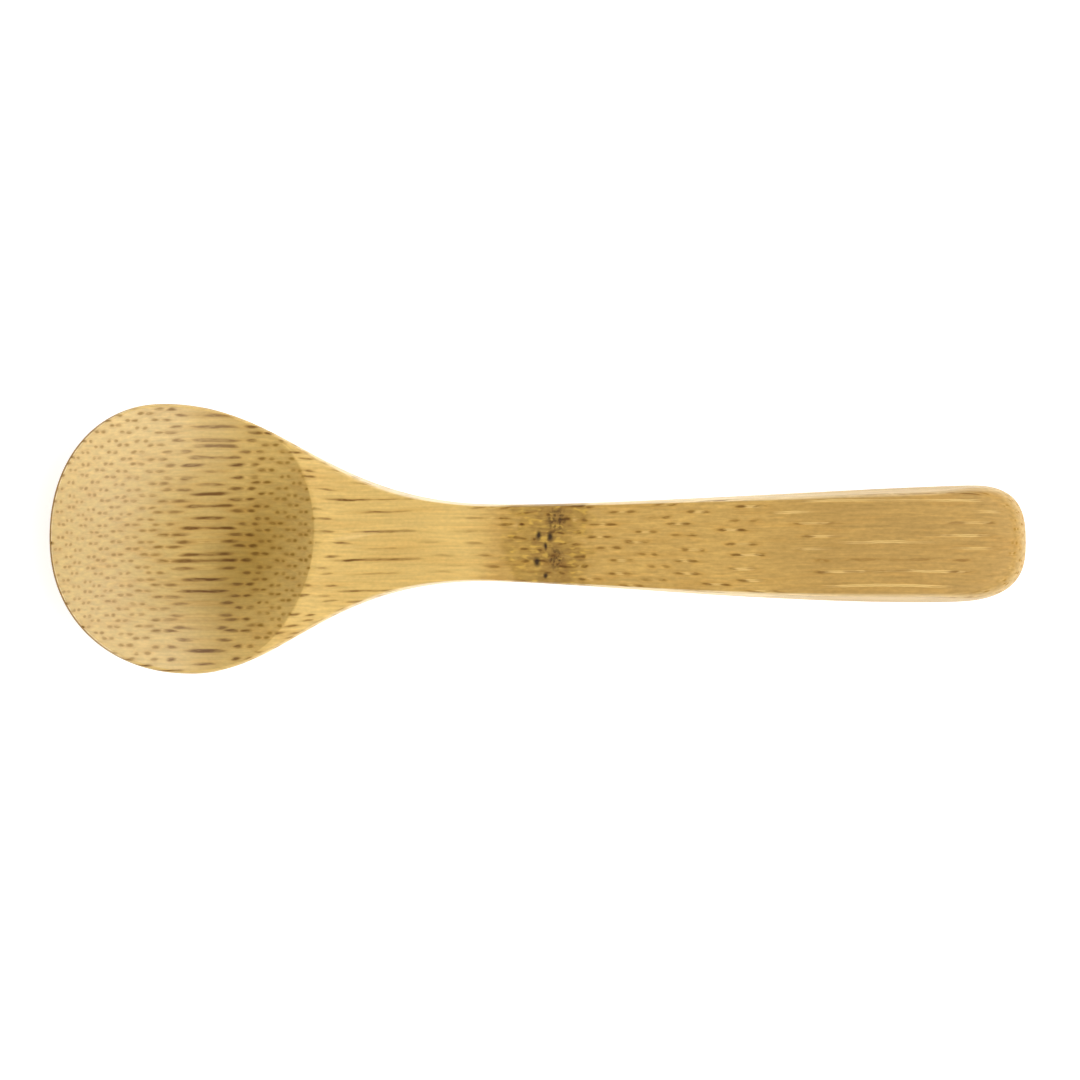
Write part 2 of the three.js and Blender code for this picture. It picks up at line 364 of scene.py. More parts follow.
class SpoonShape(bpy.types.PropertyGroup):
    """How the carved surface is refined."""

    crisp_angle: bpy.props.FloatProperty(
        name="Crisp angle", description="The hollow's back edge turns by more than this",
        default=math.radians(13), subtype="ANGLE")
    crisp_crease: bpy.props.FloatProperty(
        name="Crisp crease", description="How sharp the hollow's back edge stays under sanding",
        default=0.85, min=0, max=1, subtype="FACTOR")
    levels: bpy.props.IntProperty(
        name="Levels", description="Subdivision levels of the carved surface", default=2, min=1, max=3)


class BambooFinish(bpy.types.PropertyGroup):
    """Sizes and colours of the bamboo."""

    straw: bpy.props.FloatVectorProperty(
        name="Straw", description="Soft tissue between lip and culm node", default=linear("d7b469"),
        subtype="COLOR")
    cut: bpy.props.FloatVectorProperty(
        name="Cut", description="Soft tissue of the hollow's ramp, cut across its fibres",
        default=linear("a58b50"), subtype="COLOR")
    # The back wall's tone: partly its own, cut across its fibres, and partly painted shade of the wall that
    # faces away from the lights
    steep: bpy.props.FloatVectorProperty(
        name="Steep", description="Soft tissue of the hollow's back wall, cut across its fibres",
        default=linear("9f7e38"), subtype="COLOR")
    # Painted shade low on the hollow's back wall: what it leaves of each colour
    back_shade: bpy.props.FloatVectorProperty(
        name="Oil", description="What the oil that gathered low on the back wall leaves of each colour",
        default=(0.68, 0.63, 0.43), subtype="COLOR")
    tan: bpy.props.FloatVectorProperty(
        name="Tan", description="Soft tissue beyond the culm node", default=linear("bd9852"),
        subtype="COLOR")
    pith: bpy.props.FloatVectorProperty(
        name="Pith", description="Soft tissue of the handle's end, from the inside of the culm wall",
        default=linear("ac8847"), subtype="COLOR")
    # Pale colour of the lip's rounding, and painted highlight on the flanks of neck and handle and on the
    # ramp's sides
    pale_and_highlight: bpy.props.FloatVectorProperty(
        name="Sanded", description="Freshly sanded lip, and flanks of neck and handle",
        default=linear("e6cf9f"), subtype="COLOR")
    # Painted shade on the lip's outer edge, which looks away from the lights
    lip_edge_shade: bpy.props.FloatVectorProperty(
        name="Handled", description="Outer edge of the lip, darkened by use", default=linear("a27a3c"),
        subtype="COLOR")
    fibre: bpy.props.FloatVectorProperty(
        name="Fibre", description="Dark caps of the fibre bundles, cut along", default=linear("6b460e"),
        subtype="COLOR")
    end_grain: bpy.props.FloatVectorProperty(
        name="End grain", description="The same caps, cut across", default=linear("8a6616"),
        subtype="COLOR")
    halo: bpy.props.FloatVectorProperty(
        name="Halo", description="Amber rims of the caps, and amber streaks of the tissue",
        default=linear("b07c2c"), subtype="COLOR")
    vessel: bpy.props.FloatVectorProperty(
        name="Vessel", description="Pale open vessels inside a bundle", default=linear("e2c078"),
        subtype="COLOR")
    node: bpy.props.FloatVectorProperty(
        name="Node", description="What the culm node's band leaves of each colour",
        default=(0.84, 0.83, 0.66), subtype="COLOR")
    heart: bpy.props.FloatVectorProperty(
        name="Heart", description="What the dark middle of the culm node leaves of that",
        default=(0.70, 0.64, 0.66), subtype="COLOR")
    plug: bpy.props.FloatVectorProperty(
        name="Plug", description="Plugged vessels in the culm node", default=linear("2a1a08"),
        subtype="COLOR")
    fleck: bpy.props.FloatVectorProperty(
        name="Fleck", description="Bright flecks in the culm node", default=linear("e6bc52"),
        subtype="COLOR")
    bundle_width: bpy.props.FloatProperty(
        name="Bundle spacing across", description="Distance between like bundles across the strip",
        default=1.1 * MM, unit="LENGTH")
    row_spacing: bpy.props.FloatProperty(
        name="Row spacing", description="Distance between like rows of bundles at the table's height",
        default=0.465 * MM, unit="LENGTH")
    row_growth: bpy.props.FloatProperty(
        name="Row growth", description="The rows stand further apart by this much per height",
        default=0.095)
    cap_gap: bpy.props.FloatProperty(
        name="Cap gap", description="Distance between a bundle's two caps", default=0.18 * MM,
        unit="LENGTH")
    cap_width: bpy.props.FloatProperty(
        name="Cap width", description="Width of a cap in the bowl", default=0.33 * MM, unit="LENGTH")
    cap_deep: bpy.props.FloatProperty(
        name="Cap thickness", description="Thickness of a cap in the bowl", default=0.125 * MM,
        unit="LENGTH")
    cap_thin: bpy.props.FloatProperty(
        name="Cap thinning", description="What is left of both on shoulder and neck", default=0.70,
        subtype="FACTOR")
    cap_handle: bpy.props.FloatProperty(
        name="Cap on the handle", description="What is left of both past the culm node", default=0.86,
        subtype="FACTOR")
    lean: bpy.props.FloatProperty(
        name="Lean", description="The fibres sink by this slope from the lip to the handle's end",
        default=0.03)
    culm_radius: bpy.props.FloatProperty(
        name="Culm radius", description="The rows of bundles bow round the culm's axis, above the spoon",
        default=28 * MM, unit="LENGTH")
    node_place: bpy.props.FloatProperty(
        name="Node place", description="Where the culm node crosses the neck", default=0.75 * MM,
        unit="LENGTH")
    node_reach: bpy.props.FloatProperty(
        name="Node reach", description="Half the length of the culm node's dark band", default=5.0 * MM,
        unit="LENGTH")


class LightTable(bpy.types.PropertyGroup):
    """The table, the lights and the camera."""

    table_size: bpy.props.FloatProperty(
        name="Table size", description="Side of the table", default=4.0, unit="LENGTH")
    glow: bpy.props.FloatProperty(
        name="Glow", description="Light that the table gives from below", default=0.6)
    tent_low: bpy.props.FloatProperty(
        name="Tent at the horizon", description="Brightness of the tent low down", default=0.85)
    tent_high: bpy.props.FloatProperty(
        name="Tent overhead", description="Brightness of the tent overhead", default=0.1)
    softbox_glow: bpy.props.FloatProperty(
        name="Softbox glow", description="Brightness of the softbox beyond the handle's end", default=2.35)
    side_share: bpy.props.FloatProperty(
        name="Side share", description="Brightness of the two side softboxes against that one",
        default=0.92, subtype="FACTOR")
    lens: bpy.props.FloatProperty(
        name="Lens", description="Focal length of the camera", default=300, subtype="DISTANCE_CAMERA")


def blotches(tree, place, size, detail, shift=0, lean=0):
    """Noise in blotches of this size along, across and through the strip, shifted or leaning if asked."""
    scaled = add(tree, "ShaderNodeMapping", {"Vector": place, "Location": [shift] * 3,
                                             "Rotation": (0, lean, 0), "Scale": [1 / s for s in size]})
    return add(tree, NOISE, {"Vector": scaled, "Scale": 1, "Detail": detail})


def culm_node(tree, finish, place):
    """The culm node across the neck, as masks: a ragged band with plugged vessels, knots and flecks."""
    rough = add(tree, NOISE, {"Vector": place, "Scale": 1 / NODE_RAGGED, "Detail": 2}).outputs["Color"]
    ragged = add(tree, VECTOR, {0: rough, 1: NOISE_MIDDLE}, operation="SUBTRACT")
    band_shift = add(tree, VECTOR, {0: ragged, "Scale": NODE_SHIFT}, operation="SCALE")
    band_place = add(tree, VECTOR, {0: place, 1: band_shift}, operation="ADD")
    along = add(tree, SPLIT, {0: band_place}).outputs["X"]
    past = add(tree, MATH, {0: along, 1: finish.node_place}, operation="SUBTRACT")
    away = add(tree, MATH, {0: past}, operation="ABSOLUTE")
    band = add(tree, RANGE, {"Value": away, "From Min": finish.node_reach, "From Max": NODE_FULL},
               interpolation_type="SMOOTHSTEP")
    before = add(tree, MATH, {0: past, 1: -NODE_STEEP}, operation="MULTIPLY")
    uneven = add(tree, MATH, {0: past, 1: before}, operation="MAXIMUM")
    heart = add(tree, RANGE, {"Value": uneven, "From Min": NODE_HEART, "From Max": NODE_CORE},
                interpolation_type="SMOOTHSTEP")

    masks = {"band": band, "heart": heart}
    spot_shift = add(tree, VECTOR, {0: ragged, "Scale": SPOT_SHIFT}, operation="SCALE")
    spot_place = add(tree, VECTOR, {0: place, 1: spot_shift}, operation="ADD")
    for name, spots, rim, core in (("plug", NODE_PLUGS, PLUG_RIM, PLUG_CORE),
                                   ("knot", NODE_KNOTS, KNOT_RIM, KNOT_CORE)):
        nearest = None
        for x, y, length, width in spots:
            centre = (x * MM, y * MM, SPOT_HEIGHT)
            from_centre = add(tree, VECTOR, {0: spot_place, 1: centre}, operation="SUBTRACT")
            halves = (length * MM / 2, width * MM / 2, SPOT_DEPTH)
            shares = add(tree, VECTOR, {0: from_centre, 1: halves}, operation="DIVIDE")
            reach = add(tree, VECTOR, {0: shares}, operation="LENGTH")
            if nearest is None:
                nearest = reach
            else:
                nearest = add(tree, MATH, {0: nearest, 1: reach}, operation="MINIMUM")
        masks[name] = add(tree, RANGE, {"Value": nearest, "From Min": rim, "From Max": core})

    for name, size, start, full, within, shift in NODE_BLOTCHES:
        blots = blotches(tree, place, size, 1, shift=shift)
        picked = add(tree, RANGE, {"Value": blots, "From Min": start, "From Max": full})
        masks[name] = add(tree, MATH, {0: picked, 1: masks[within]}, operation="MULTIPLY")
    return masks


def bundle_lattice(tree, finish, grain):
    """Where a point lies across and through its fibre bundle, its height in the wall, and three chances.

    In the culm wall the bundles stand in staggered rows, which bow round the culm's axis and get further
    apart towards it. The two diagonals through them are a square lattice, and each bundle is a cell of it.
    """
    level = add(tree, VECTOR, {0: grain, 1: (finish.lean, 0, 1)}, operation="DOT_PRODUCT")
    aside = add(tree, SPLIT, {0: grain}).outputs["Y"]
    squared = add(tree, MATH, {0: aside, 1: 2}, operation="POWER")
    depth = add(tree, MATH, {0: squared, 1: -0.5 / finish.culm_radius, 2: level}, operation="MULTIPLY_ADD")
    column = add(tree, VECTOR, {0: grain, 1: (0, 1 / finish.bundle_width, 0)}, operation="DOT_PRODUCT")
    spacing = add(tree, MATH, {0: depth, 1: finish.row_growth, 2: finish.row_spacing},
                  operation="MULTIPLY_ADD")
    rows = add(tree, MATH, {0: spacing, 1: math.e}, operation="LOGARITHM")
    row = add(tree, MATH, {0: rows, 1: 1 / finish.row_growth}, operation="MULTIPLY")
    rising = add(tree, MATH, {0: column, 1: row}, operation="ADD")
    falling = add(tree, MATH, {0: column, 1: row}, operation="SUBTRACT")
    lattice = add(tree, JOIN, {0: rising, 1: falling})
    bundle = add(tree, "ShaderNodeTexVoronoi",
                 {"Vector": lattice, "Scale": 1, "Randomness": BUNDLE_DISORDER}, voronoi_dimensions="2D")
    offset = add(tree, VECTOR, {0: lattice, 1: bundle.outputs["Position"]}, operation="SUBTRACT")
    half_width = finish.bundle_width / 2
    side = add(tree, VECTOR, {0: offset, 1: (half_width, half_width, 0)}, operation="DOT_PRODUCT")
    rows_off = add(tree, VECTOR, {0: offset, 1: (0.5, -0.5, 0)}, operation="DOT_PRODUCT")
    rise = add(tree, MATH, {0: rows_off, 1: spacing}, operation="MULTIPLY")
    chances = add(tree, "ShaderNodeSeparateColor", {0: bundle.outputs["Color"]})
    return side, rise, depth, chances.outputs


def cap_strength(tree, grain, along, depth, dotted, chance):
    """How dark the caps are, and how strongly the bundles show along the spoon.

    Towards the inside of the culm fewer caps are dark, and none is evenly dark along its length.
    """
    faded = add(tree, RANGE, {"Value": depth, "From Min": FADE_LOW, "From Max": FADE_HIGH,
                              "To Min": FADED_LOW, "To Max": FADED_HIGH})
    over = add(tree, MATH, {0: chance, 1: faded}, operation="SUBTRACT")
    chosen = add(tree, RANGE, {"Value": over, "From Min": 0, "From Max": FADE_RANGE,
                               "To Min": FADE_LEFT, "To Max": 1})
    breaks = blotches(tree, grain, BREAK_SIZE, 2)
    spared = add(tree, RANGE, {"Value": along, "From Min": BREAK_START, "From Max": BREAK_FULL,
                               "To Min": BREAK_SHALLOW, "To Max": BREAK_DEEP})
    kept = add(tree, RANGE, {"Value": breaks, "From Min": BROKEN, "From Max": WHOLE,
                             "To Min": spared, "To Max": 1})
    strength = add(tree, MATH, {0: chosen, 1: kept}, operation="MULTIPLY")

    start = SHOWN_ALONG[0][0]
    end = SHOWN_ALONG[-1][0]
    passed = add(tree, RANGE, {"Value": along, "From Min": start, "From Max": end})
    shown = add(tree, "ShaderNodeValToRGB", {0: passed})
    stops = shown.color_ramp.elements
    for x, value in SHOWN_ALONG[1:-1]:
        stops.new((x - start) / (end - start)).color = (value, value, value, 1)
    for stop, (_, value) in ((stops[0], SHOWN_ALONG[0]), (stops[-1], SHOWN_ALONG[-1])):
        stop.color = (value, value, value, 1)
    strength = add(tree, MATH, {0: strength, 1: shown}, operation="MULTIPLY")
    fainter = add(tree, RANGE, {"Value": dotted, "To Min": 1, "To Max": DOT_DARKNESS})
    strength = add(tree, MATH, {0: strength, 1: fainter}, operation="MULTIPLY")
    return strength, shown


def fibre_bundles(tree, finish, grain, facing):
    """The fibre bundles, which run through the whole piece, as masks of their dark caps and pale vessels.

    Each has a dark cap towards the inside and one towards the outside of the culm, and two vessels between
    them. The caps are thick in the bowl, which comes from the outside of the culm wall, and finer past it.
    """
    side, rise, depth, chances = bundle_lattice(tree, finish, grain)
    along = add(tree, SPLIT, {0: grain}).outputs["X"]
    slope = add(tree, MATH, {0: facing.outputs["X"]}, operation="ABSOLUTE")
    dotted = add(tree, RANGE, {"Value": slope, "From Min": CUT_LEVEL, "From Max": CUT_STEEP})
    thinned = add(tree, RANGE, {"Value": along, "From Min": finish.node_place, "From Max": CAP_REGROWN,
                                "To Min": finish.cap_thin, "To Max": finish.cap_handle})
    left = add(tree, RANGE, {"Value": along, "From Min": CAP_START, "From Max": CAP_FULL,
                             "To Min": 1, "To Max": thinned})
    left = add(tree, MATH, {0: left, 1: dotted}, operation="MAXIMUM")
    uneven = add(tree, RANGE, {"Value": chances[1], "To Min": THICKNESS_LEAST, "To Max": THICKNESS_MOST})
    thick = add(tree, MATH, {0: left, 1: uneven}, operation="MULTIPLY")
    thick = add(tree, MATH, {0: thick, 1: finish.cap_deep}, operation="MULTIPLY")
    narrowed = add(tree, RANGE, {"Value": dotted, "To Min": 1, "To Max": DOT_WIDTH})
    wide = add(tree, MATH, {0: narrowed, 1: left}, operation="MULTIPLY")
    across = add(tree, MATH, {0: side, 1: 2 / finish.cap_width}, operation="MULTIPLY")
    across = add(tree, MATH, {0: across, 1: wide}, operation="DIVIDE")
    masks = {}
    for name, centre, chance in (("inner", finish.cap_gap / 2, chances[1]),
                                 ("outer", -finish.cap_gap / 2, chances[2])):
        moved = add(tree, MATH, {0: rise, 1: centre}, operation="SUBTRACT")
        doubled = add(tree, MATH, {0: moved, 1: 2}, operation="MULTIPLY")
        through = add(tree, MATH, {0: doubled, 1: thick}, operation="DIVIDE")
        spread = add(tree, JOIN, {0: across, 1: through})
        reach = add(tree, VECTOR, {0: spread}, operation="LENGTH")
        cap = add(tree, RANGE, {"Value": reach, "From Min": CAP_RIM, "From Max": CAP_CORE})
        darkness = add(tree, RANGE, {"Value": chance, "To Min": DARKNESS_LEAST, "To Max": DARKNESS_MOST})
        masks[name] = add(tree, MATH, {0: cap, 1: darkness}, operation="MULTIPLY")
        halo = add(tree, RANGE, {"Value": reach, "From Min": HALO_RIM, "From Max": HALO_CORE})
        masks[name + " halo"] = halo
    strength, shown = cap_strength(tree, grain, along, depth, dotted, chances[0])
    for name, mask in masks.items():
        masks[name] = add(tree, MATH, {0: mask, 1: strength}, operation="MULTIPLY")

    # Vessels show as pale lines along a level cut, most of all on the handle's crest
    beside = add(tree, MATH, {0: side}, operation="ABSOLUTE")
    beside = add(tree, MATH, {0: beside, 1: VESSEL_GAP / 2}, operation="SUBTRACT")
    beside = add(tree, MATH, {0: beside, 1: 2 / VESSEL_WIDTH}, operation="MULTIPLY")
    within = add(tree, MATH, {0: rise, 1: 2 / VESSEL_DEPTH}, operation="MULTIPLY")
    grown = add(tree, RANGE, {"Value": depth, "From Min": GROWTH_LOW, "From Max": GROWTH_HIGH,
                              "To Min": GROWTH_LEAST, "To Max": GROWTH_MOST})
    within = add(tree, MATH, {0: within, 1: grown}, operation="DIVIDE")
    spread = add(tree, JOIN, {0: beside, 1: within})
    reach = add(tree, VECTOR, {0: spread}, operation="LENGTH")
    vessel = add(tree, RANGE, {"Value": reach, "From Min": VESSEL_RIM, "From Max": VESSEL_CORE})
    opened = add(tree, RANGE, {"Value": chances[2], "From Min": VESSEL_CLOSED, "From Max": VESSEL_OPEN})
    crest = add(tree, RANGE, {"Value": along, "From Min": OPEN_START, "From Max": OPEN_FULL,
                              "To Min": OPEN_LEVEL})
    level = add(tree, RANGE, {"Value": dotted, "To Min": 1, "To Max": OPEN_STEEP})
    for mask in (opened, crest, level, shown):
        vessel = add(tree, MATH, {0: vessel, 1: mask}, operation="MULTIPLY")
    masks["vessel"] = vessel
    fibre = add(tree, MIX, {"Factor": dotted, "A": (*finish.fibre, 1), "B": (*finish.end_grain, 1)},
                data_type="RGBA")
    return masks, fibre


def carved_hollow(tree, finish, place, facing, upward):
    """Straw with the tones of the hollow: darker where its fibres are cut, with painted shade on the back
    wall and a painted sheen on the ramp's sides.

    The painted shade low on the back wall is given as a mask, because it darkens the fibre bundles too.
    """
    parts = add(tree, SPLIT, {0: place})
    along = parts.outputs["X"]
    tilted = add(tree, RANGE, {"Value": facing.outputs["Z"], "From Min": math.cos(HOLLOW_LEVEL),
                               "From Max": math.cos(HOLLOW_STEEP)})
    in_bowl = add(tree, RANGE, {"Value": along, "From Min": BOWL_END + BOWL_FADE, "From Max": BOWL_END})
    tilted = add(tree, MATH, {0: tilted, 1: in_bowl}, operation="MULTIPLY")
    level = add(tree, VECTOR, {0: place, 1: (finish.lean, 0, 1)}, operation="DOT_PRODUCT")
    low = add(tree, RANGE, {"Value": level, "From Min": FLOOR_HIGH, "From Max": FLOOR_LOW})
    hollow = add(tree, MATH, {0: tilted, 1: low}, operation="MAXIMUM")

    aside = add(tree, MATH, {0: parts.outputs["Y"], 1: CUT_MIDDLE}, operation="SUBTRACT")
    aside = add(tree, MATH, {0: aside}, operation="ABSOLUTE")
    taken = add(tree, RANGE, {"Value": aside, "From Min": CUT_INNER, "From Max": CUT_OUTER,
                              "To Min": CUT_MOST, "To Max": CUT_LEAST})
    back = add(tree, RANGE, {"Value": along, "From Min": BACK_START, "From Max": BACK_FULL})
    less = add(tree, RANGE, {"Value": back, "To Min": 1, "To Max": BACK_CUT})
    for mask in (hollow, less):
        taken = add(tree, MATH, {0: taken, 1: mask}, operation="MULTIPLY")
    # Towards the back wall the tone turns darker: partly its own cut tone, partly painted shade
    tone = add(tree, MIX, {"Factor": back, "A": (*finish.cut, 1), "B": (*finish.steep, 1)},
               data_type="RGBA")
    straw = add(tree, MIX, {"Factor": taken, "A": (*finish.straw, 1), "B": tone}, data_type="RGBA")

    # Painted shade: a slanting patch low on the back wall
    from_back_shade = add(tree, VECTOR, {0: place, 1: BACK_SHADE_CENTRE}, operation="SUBTRACT")
    lengthwise = add(tree, VECTOR, {0: from_back_shade, 1: (1 / BACK_SHADE_LENGTH, -BACK_SHADE_LEAN / BACK_SHADE_LENGTH, 0)},
                     operation="DOT_PRODUCT")
    crosswise = add(tree, VECTOR, {0: from_back_shade, 1: (0, 1 / BACK_SHADE_WIDTH, 0)}, operation="DOT_PRODUCT")
    spread = add(tree, JOIN, {0: lengthwise, 1: crosswise})
    away = add(tree, VECTOR, {0: spread}, operation="LENGTH")
    back_shade_mask = add(tree, RANGE, {"Value": away, "From Min": 1, "From Max": 0},
                 interpolation_type="SMOOTHSTEP")
    for mask in (upward, hollow):
        back_shade_mask = add(tree, MATH, {0: back_shade_mask, 1: mask}, operation="MULTIPLY")

    # Painted sheen: where the ramp's sides tilt across, the colour is mixed towards the pale colour
    aslant = add(tree, MATH, {0: facing.outputs["Y"]}, operation="ABSOLUTE")
    side_sheen = add(tree, RANGE, {"Value": aslant, "From Min": SIDE_SHEEN_LEVEL, "From Max": SIDE_SHEEN_STEEP,
                              "To Max": SIDE_SHEEN_SHARE})
    front = add(tree, RANGE, {"Value": along, "From Min": SIDE_SHEEN_START, "From Max": SIDE_SHEEN_FULL})
    for mask in (front, upward):
        side_sheen = add(tree, MATH, {0: side_sheen, 1: mask}, operation="MULTIPLY")
    straw = add(tree, MIX, {"Factor": side_sheen, "A": straw, "B": (*finish.pale_and_highlight, 1)}, data_type="RGBA")
    return straw, back_shade_mask


def edge_highlight_and_shade(tree, finish, colour, along, facing, upward, spared):
    """Painted highlight on the flanks, the pale rounding of the lip and painted shade on the lip's outer
    edge, over a colour.

    Each pair in spared is a mask and what is left of the flanks' painted highlight where the mask is full.
    """
    # Painted highlight on the near-vertical flanks
    level = add(tree, MATH, {0: facing.outputs["Z"]}, operation="ABSOLUTE")
    flank_highlight = add(tree, RANGE, {"Value": level, "From Min": FLANK_LEVEL, "From Max": FLANK_STEEP})
    past_bowl = add(tree, RANGE, {"Value": along, "From Min": FLANK_START, "From Max": FLANK_FULL})
    flank_highlight = add(tree, MATH, {0: flank_highlight, 1: past_bowl}, operation="MULTIPLY")
    for mask, least in spared:
        kept_highlight = add(tree, RANGE, {"Value": mask, "To Min": 1, "To Max": least})
        flank_highlight = add(tree, MATH, {0: flank_highlight, 1: kept_highlight}, operation="MULTIPLY")

    at_lip = add(tree, RANGE, {"Value": along, "From Min": LIP_END, "From Max": LIP_FULL})
    rim = add(tree, RANGE, {"Value": facing.outputs["X"], "From Min": ROUND_START, "From Max": ROUND_FULL})
    for mask in (upward, at_lip):
        rim = add(tree, MATH, {0: rim, 1: mask}, operation="MULTIPLY")
    pale = add(tree, MATH, {0: flank_highlight, 1: rim}, operation="MAXIMUM")
    colour = add(tree, MIX, {"Factor": pale, "A": colour, "B": (*finish.pale_and_highlight, 1)}, data_type="RGBA")

    # Painted shade on the lip's outer edge, which looks away from the lights
    edge = add(tree, RANGE, {"Value": facing.outputs["X"], "From Min": OUTWARD_START,
                             "From Max": OUTWARD_FULL})
    above = add(tree, RANGE, {"Value": facing.outputs["Z"], "From Min": EDGE_START, "From Max": EDGE_FULL})
    for mask in (above, at_lip):
        edge = add(tree, MATH, {0: edge, 1: mask}, operation="MULTIPLY")
    return add(tree, MIX, {"Factor": edge, "A": colour, "B": (*finish.lip_edge_shade, 1)}, data_type="RGBA")


def soft_tissue(tree, finish, place, drifted, facing, band):
    """The tissue between the bundles: straw up to the node, tan beyond it, streaked, darker in the hollow.

    Gives its colour, where it lies beyond the node, where shade is painted low on the back wall, and its
    finest streaks as a height.
    """
    along = add(tree, SPLIT, {0: place}).outputs["X"]
    upward = add(tree, RANGE, {"Value": facing.outputs["Z"], "From Min": UPWARD_START,
                               "From Max": UPWARD_FULL})
    straw, back_shade_mask = carved_hollow(tree, finish, place, facing, upward)
    far = add(tree, RANGE, {"Value": along, "From Min": PITH_START, "From Max": PITH_FULL})
    tan = add(tree, MIX, {"Factor": far, "A": (*finish.tan, 1), "B": (*finish.pith, 1)}, data_type="RGBA")
    beyond = add(tree, RANGE, {"Value": along, "From Min": TAN_START, "From Max": TAN_FULL},
                 interpolation_type="SMOOTHSTEP")
    colour = add(tree, MIX, {"Factor": beyond, "A": straw, "B": tan}, data_type="RGBA")
    spared = ((far, FLANK_FAR), (facing.outputs["X"], FLANK_END), (band, FLANK_NODE))
    colour = edge_highlight_and_shade(tree, finish, colour, along, facing, upward, spared)

    amber = blotches(tree, drifted, AMBER_SIZE, 2)
    blush = add(tree, RANGE, {"Value": amber, "From Min": AMBER_START, "From Max": AMBER_FULL,
                              "To Max": AMBER_SHARE})
    colour = add(tree, MIX, {"Factor": blush, "A": colour, "B": (*finish.halo, 1)}, data_type="RGBA")
    for size, detail, before, after in STREAKS:
        streak = blotches(tree, drifted, size, detail, lean=finish.lean)
        swing = add(tree, RANGE, {"Value": streak, "From Min": STREAK_DARK, "From Max": STREAK_LIGHT,
                                  "To Min": -1, "To Max": 1})
        contrast = add(tree, RANGE, {"Value": beyond, "To Min": before, "To Max": after})
        shade = add(tree, MATH, {0: swing, 1: contrast, 2: 1}, operation="MULTIPLY_ADD")
        colour = add(tree, MIX, {"Factor": 1, "A": colour, "B": shade}, data_type="RGBA",
                     blend_type="MULTIPLY")
    return colour, beyond, back_shade_mask, streak


def bamboo_material(finish):
    """Bamboo culm wall, carved across its fibres, finished by sanding and oiling.

    The fibre bundles run through the whole piece, so a steep cut shows them as dots and a level cut as long
    dashes. The hollow, more deeply oiled than the level top, is darker, and painted shade darkens it
    further low on its back wall. The oiled bowl has a satin sheen, and the handle is drier. The flanks
    carry a painted highlight, and the lip's outer edge painted shade.
    """
    material = bpy.data.materials.new("sanded_oiled_bamboo")
    material.use_nodes = True
    tree = material.node_tree
    tree.nodes.clear()
    coordinates = add(tree, "ShaderNodeTexCoord")
    place = coordinates.outputs["Object"]
    facing = add(tree, SPLIT, {0: coordinates.outputs["Normal"]})
    node = culm_node(tree, finish, place)

    # No fibre is ruler straight: all drift slowly, and swirl where they pass the culm node
    pushed = []
    for size, reach in ((DRIFT_SIZE, WANDER), (SWIRL_SIZE, WANDER), (RAGGED_SIZE, RAGGED)):
        turn = blotches(tree, place, size, 1).outputs["Color"]
        centred = add(tree, VECTOR, {0: turn, 1: NOISE_MIDDLE}, operation="SUBTRACT")
        pushed.append(add(tree, VECTOR, {0: centred, 1: reach}, operation="MULTIPLY"))
    drift, swirl, raggedness = pushed
    drifted = add(tree, VECTOR, {0: place, 1: drift}, operation="ADD")
    swirled = add(tree, VECTOR, {0: place, 1: swirl}, operation="ADD")
    wander = add(tree, MIX, {"Factor": node["band"], "A": drifted, "B": swirled}, data_type="VECTOR")
    grain = add(tree, VECTOR, {0: wander, 1: raggedness}, operation="ADD")

    masks, fibre = fibre_bundles(tree, finish, grain, facing)
    colour, beyond, back_shade_mask, height = soft_tissue(tree, finish, place, drifted, facing, node["band"])
    amber = (*finish.halo, 1)
    pale = (*finish.vessel, 1)
    for name, tint in (("outer halo", amber), ("inner halo", amber), ("vessel", pale), ("outer", fibre),
                       ("inner", fibre)):
        share = add(tree, MATH, {0: masks[name], 1: LAYER_SHARES[name]}, operation="MULTIPLY")
        colour = add(tree, MIX, {"Factor": share, "A": colour, "B": tint}, data_type="RGBA")
    # Painted shade low on the back wall darkens tissue and fibre bundles alike
    colour = add(tree, MIX, {"Factor": back_shade_mask, "A": colour, "B": (*finish.back_shade, 1)}, data_type="RGBA",
                 blend_type="MULTIPLY")
    for name, tint, blend in (("band", finish.node, "MULTIPLY"), ("heart", finish.heart, "MULTIPLY"),
                              ("mottle", finish.heart, "MULTIPLY"), ("knot", finish.heart, "MULTIPLY"),
                              ("fleck", finish.fleck, "MIX"), ("speck", finish.plug, "MIX"),
                              ("plug", finish.plug, "MIX")):
        share = add(tree, MATH, {0: node[name], 1: LAYER_SHARES[name]}, operation="MULTIPLY")
        colour = add(tree, MIX, {"Factor": share, "A": colour, "B": (*tint, 1)}, data_type="RGBA",
                     blend_type=blend)

    relief = add(tree, "ShaderNodeBump",
                 {"Height": height, "Strength": RELIEF_STRENGTH, "Distance": RELIEF})
    dry = add(tree, MATH, {0: node["plug"], 1: beyond}, operation="MAXIMUM")
    sheen = add(tree, RANGE, {"Value": dry, "To Min": OILED_SHEEN, "To Max": DRY_SHEEN})
    rough = add(tree, RANGE, {"Value": dry, "To Min": OILED_ROUGHNESS, "To Max": DRY_ROUGHNESS})
    surface = add(tree, "ShaderNodeBsdfPrincipled",
                  {"Base Color": colour, "Roughness": rough, "IOR": REFRACTION, "Specular IOR Level": sheen,
                   "Normal": relief})
    add(tree, "ShaderNodeOutputMaterial", {"Surface": surface})
    return material


